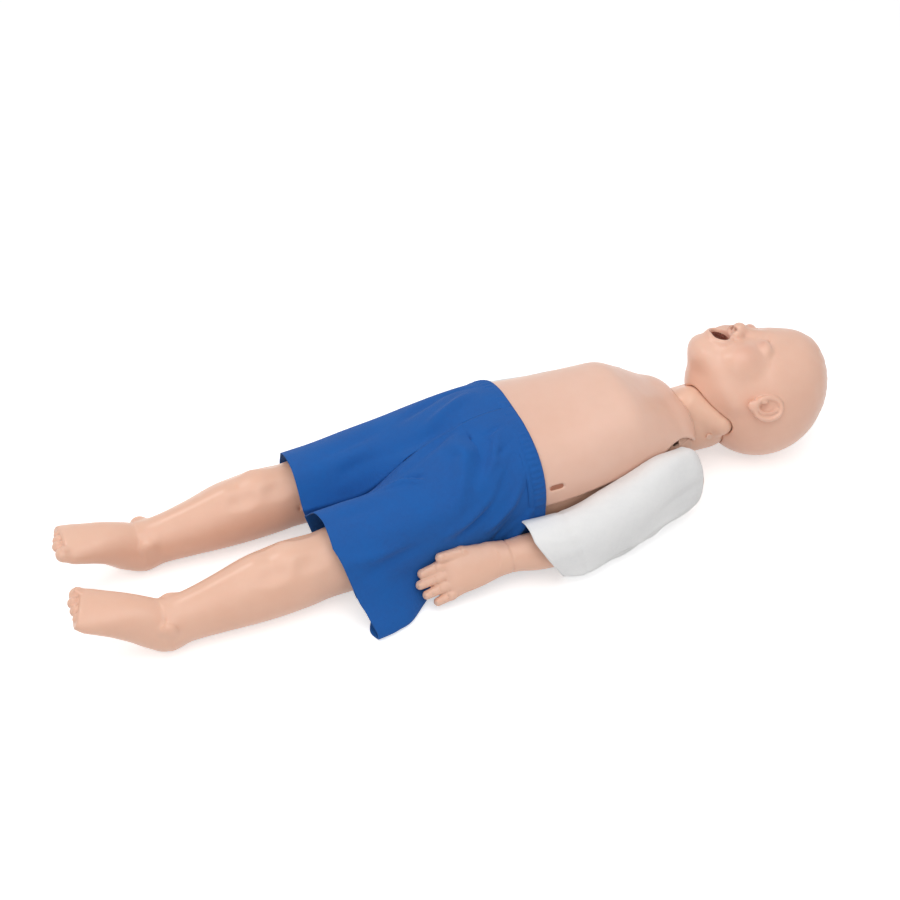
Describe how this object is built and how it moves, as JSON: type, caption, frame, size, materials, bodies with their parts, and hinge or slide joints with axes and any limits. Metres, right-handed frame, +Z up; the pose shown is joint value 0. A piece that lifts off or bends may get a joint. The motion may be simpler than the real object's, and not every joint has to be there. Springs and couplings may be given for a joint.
{
  "type": "CPR training manikin",
  "caption": "Full-body child manikin lying on its back, with a sprung chest, an open mouth, a turning head and swinging limbs, dressed in shorts and sleeves.",
  "frame": {"origin": "on the surface the manikin lies on, under the compression point of the breastbone", "axes": "+X along the body towards the head, +Z up out of the chest, +Y towards the manikin's right side"},
  "size_m": [1.0502, 0.3599, 0.2101],
  "materials": {
    "skin_vinyl": "soft flesh vinyl, fine satin sheen",
    "head_vinyl": "soft flesh vinyl, matt",
    "limb_vinyl": "flesh vinyl, satin",
    "neck_vinyl": "flesh vinyl, matt",
    "shell_plastic": "flesh moulded plastic, fine grain",
    "foam": "flesh foam, matt",
    "foam_block": "dense foam, matt",
    "black_plastic": "moulded black plastic",
    "bag_film": "thin clear film",
    "liner_rubber": "reddish brown rubber",
    "blue_cloth": "woven blue polyester, matt with a slight sheen",
    "white_cloth": "white knitted cotton, matt",
    "screw_steel": "plated steel",
    "spring_steel": "spring steel wire"
  },
  "bodies": {
    "torso": {"back_shell": "shell_plastic", "abdomen_foam": "foam", "chest_skin": "skin_vinyl", "spring_seat": "black_plastic", "seat_screws": "screw_steel", "compression_spring": "spring_steel", "neck_block": "foam_block", "pelvis_block": "foam_block", "hip_rod": "screw_steel", "shorts": "blue_cloth", "right_skin_peg": "shell_plastic", "left_skin_peg": "shell_plastic", "right_shoulder_bolt": "screw_steel", "left_shoulder_bolt": "screw_steel", "right_shoulder_nut": "screw_steel", "left_shoulder_nut": "screw_steel"},
    "chest": {"chest_plate": "black_plastic", "lung_bag": "bag_film"},
    "neck": {"neck": "neck_vinyl", "neck_nut": "black_plastic"},
    "head": {"head": "head_vinyl", "mouth_liner": "liner_rubber", "head_pin": "screw_steel"},
    "right_arm": {"right_arm": "limb_vinyl", "right_sleeve": "white_cloth"},
    "left_arm": {"left_arm": "limb_vinyl", "left_sleeve": "white_cloth"},
    "right_leg": {"right_leg": "limb_vinyl"},
    "left_leg": {"left_leg": "limb_vinyl"}
  },
  "joints": [
    {"name": "chest_compression", "type": "slide", "parent": "torso", "child": "chest", "axis": [0, 0, -1], "range_m": [0, 0.045], "stiffness_N_per_m": 7000, "springref_m": -0.003, "deforming": ["compression_spring", "chest_skin"]},
    {"name": "neck_turn", "type": "hinge", "parent": "torso", "child": "neck", "pos_m": [0.1, 0, 0.064], "axis": [1, 0, 0], "range_deg": [-50, 40]},
    {"name": "head_tilt", "type": "hinge", "parent": "neck", "child": "head", "pos_m": [0.168, 0, 0.064], "axis": [0.2582, 0.9636, -0.0698], "range_deg": [-5, 22]},
    {"name": "right_shoulder", "type": "hinge", "parent": "torso", "child": "right_arm", "pos_m": [0.085, 0.1, 0.057], "axis": [0, 1, 0], "range_deg": [0, 150]},
    {"name": "left_shoulder", "type": "hinge", "parent": "torso", "child": "left_arm", "pos_m": [0.085, -0.1, 0.057], "axis": [0, 1, 0], "range_deg": [0, 150]},
    {"name": "right_hip", "type": "hinge", "parent": "torso", "child": "right_leg", "pos_m": [-0.212, 0.058, 0.06], "axis": [0, 1, 0], "range_deg": [0, 50], "deforming": ["shorts"]},
    {"name": "left_hip", "type": "hinge", "parent": "torso", "child": "left_leg", "pos_m": [-0.212, -0.058, 0.06], "axis": [0, 1, 0], "range_deg": [0, 50], "deforming": ["shorts"]}
  ]
}
